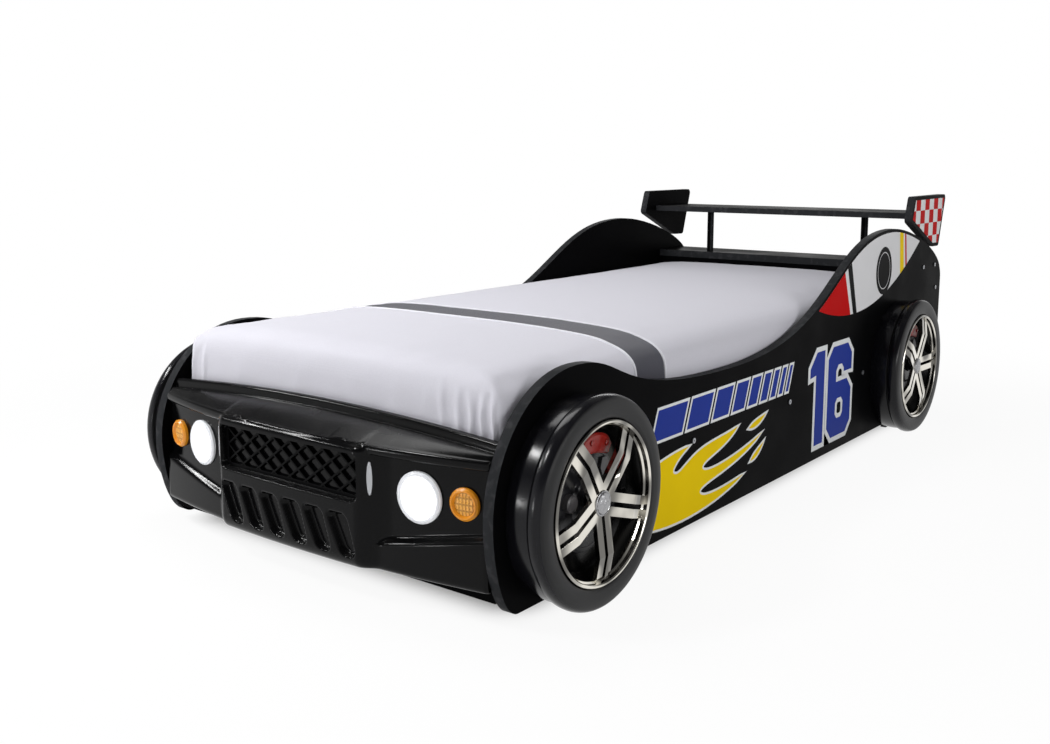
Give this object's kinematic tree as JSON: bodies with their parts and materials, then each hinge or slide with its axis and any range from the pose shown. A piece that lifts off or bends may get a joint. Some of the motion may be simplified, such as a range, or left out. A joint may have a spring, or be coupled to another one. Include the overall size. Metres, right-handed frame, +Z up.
{
  "type": "car bed for children",
  "caption": "Racing-car bed for one child: wooden side panels with humps over the wheels, a bumper with push lights, slats, mattress and a rear spoiler shelf.",
  "frame": {"origin": "middle of the bed's bounding box, on the floor", "axes": "+Y from the nose towards the headboard, +X towards the car's own left side, +Z up"},
  "size_m": [1.105, 2.3112, 0.6769],
  "materials": {
    "black_board": "satin",
    "black_plastic": "gloss",
    "tyre_plastic": "satin",
    "chrome_plated": "polished",
    "dark_dish": "gloss",
    "brake_trim": "satin",
    "lamp_white": "gloss",
    "lamp_housing": "matte",
    "amber_lens": "gloss",
    "silver_badge": "gloss",
    "zinc_steel": "satin",
    "spring_steel": "satin",
    "circuit_green": "satin",
    "pine": "matte",
    "birch_slat": "satin",
    "webbing": "matte",
    "foam": "matte",
    "mattress_fabric": "matte"
  },
  "bodies": {
    "bed": {"side_panel_left": "black_board", "side_panel_right": "black_board", "front_board": "black_board", "headboard": "black_board", "tail_board": "black_board", "rear_deck": "black_board", "panel_bolts": "zinc_steel", "slat_rail_left": "pine", "slat_rail_right": "pine", "center_beam": "pine", "center_legs": "pine", "corner_feet": "tyre_plastic", "slats": "birch_slat", "slat_tapes": "webbing", "bumper_shell": "black_plastic", "grille_mesh": "black_plastic", "side_badges": "silver_badge", "headlight_bezel_left": "lamp_housing", "headlight_housing_left": "lamp_housing", "headlight_circuit_left": "circuit_green", "headlight_spring_left": "spring_steel", "indicator_ring_left": "amber_lens", "indicator_lens_left": "amber_lens", "headlight_bezel_right": "lamp_housing", "headlight_housing_right": "lamp_housing", "headlight_circuit_right": "circuit_green", "headlight_spring_right": "spring_steel", "indicator_ring_right": "amber_lens", "indicator_lens_right": "amber_lens", "tyre_front_left": "tyre_plastic", "wheel_rim_front_left": "chrome_plated", "wheel_dish_front_left": "dark_dish", "hub_cap_front_left": "chrome_plated", "brake_front_left": "brake_trim", "tyre_front_right": "tyre_plastic", "wheel_rim_front_right": "chrome_plated", "wheel_dish_front_right": "dark_dish", "hub_cap_front_right": "chrome_plated", "brake_front_right": "brake_trim", "tyre_rear_left": "tyre_plastic", "wheel_rim_rear_left": "chrome_plated", "wheel_dish_rear_left": "dark_dish", "hub_cap_rear_left": "chrome_plated", "brake_rear_left": "brake_trim", "tyre_rear_right": "tyre_plastic", "wheel_rim_rear_right": "chrome_plated", "wheel_dish_rear_right": "dark_dish", "hub_cap_rear_right": "chrome_plated", "brake_rear_right": "brake_trim", "wheel_bolts": "zinc_steel", "spoiler_post_left": "black_board", "spoiler_post_right": "black_board", "spoiler_shelf": "black_board", "spoiler_end_plate_left": "black_board", "spoiler_end_plate_right": "black_board"},
    "mattress": {"mattress_core": "foam", "mattress_cover": "mattress_fabric"},
    "headlight_button_left": {"headlight_lens_left": "lamp_white"},
    "headlight_button_right": {"headlight_lens_right": "lamp_white"}
  },
  "joints": [
    {"name": "mattress_lift", "type": "slide", "parent": "bed", "child": "mattress", "axis": [0, 0, 1], "range_m": [0, 0.15]},
    {"name": "headlight_push_left", "type": "slide", "parent": "bed", "child": "headlight_button_left", "axis": [-0.1185, 0.993, 0], "range_m": [0, 0.0025], "stiffness_N_per_m": 1200, "springref_m": -0.002, "deforming": ["headlight_spring_left"]},
    {"name": "headlight_push_right", "type": "slide", "parent": "bed", "child": "headlight_button_right", "axis": [0.1185, 0.993, 0], "range_m": [0, 0.0025], "stiffness_N_per_m": 1200, "springref_m": -0.002, "deforming": ["headlight_spring_right"]}
  ]
}
